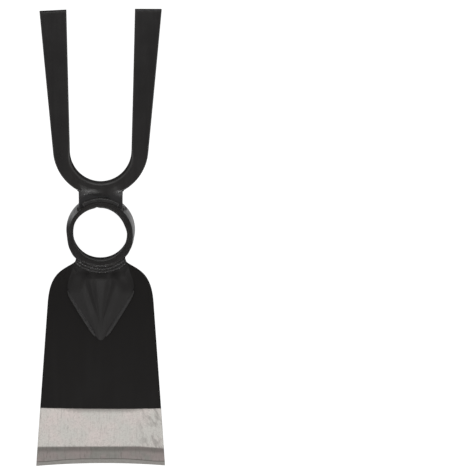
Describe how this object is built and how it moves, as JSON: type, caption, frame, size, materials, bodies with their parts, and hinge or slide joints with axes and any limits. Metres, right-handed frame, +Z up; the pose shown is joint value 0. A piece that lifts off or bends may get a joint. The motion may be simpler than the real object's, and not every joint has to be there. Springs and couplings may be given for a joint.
{
  "type": "double-ended hand hoe head",
  "caption": "Steel garden hoe head with a flat hoe blade on one side, a two-tine fork on the other and a tapered round handle eye between them.",
  "frame": {"origin": "on the surface the head lies on, under the middle of its length and width; the eye's axis stands 5.25 mm along +Y from it", "axes": "+Z up the eye's axis from its handle end to its front, +Y out along the fork, the blade along -Y, +X across, and the head is the same either side of X = 0"},
  "size_m": [0.0742, 0.2624, 0.036],
  "materials": {
    "black_lacquer": "semi-gloss black lacquer over forged steel",
    "blade_finish": "semi-gloss black lacquer, with the last 35 mm to the cutting edge bare ground steel",
    "lacquered_weld": "semi-gloss black lacquer over a weld bead"
  },
  "bodies": {
    "root": {"eye_collar": "black_lacquer", "blade_plate": "blade_finish", "blade_gusset": "black_lacquer", "collar_weld_front": "lacquered_weld", "collar_weld_rear": "lacquered_weld", "gusset_weld_left": "lacquered_weld", "gusset_weld_right": "lacquered_weld", "saddle_block": "black_lacquer", "fork_bar": "black_lacquer", "saddle_weld_front": "lacquered_weld", "saddle_weld_rear": "lacquered_weld", "saddle_weld_left": "lacquered_weld", "saddle_weld_right": "lacquered_weld", "fork_weld_left": "lacquered_weld", "fork_weld_right": "lacquered_weld"}
  },
  "joints": []
}
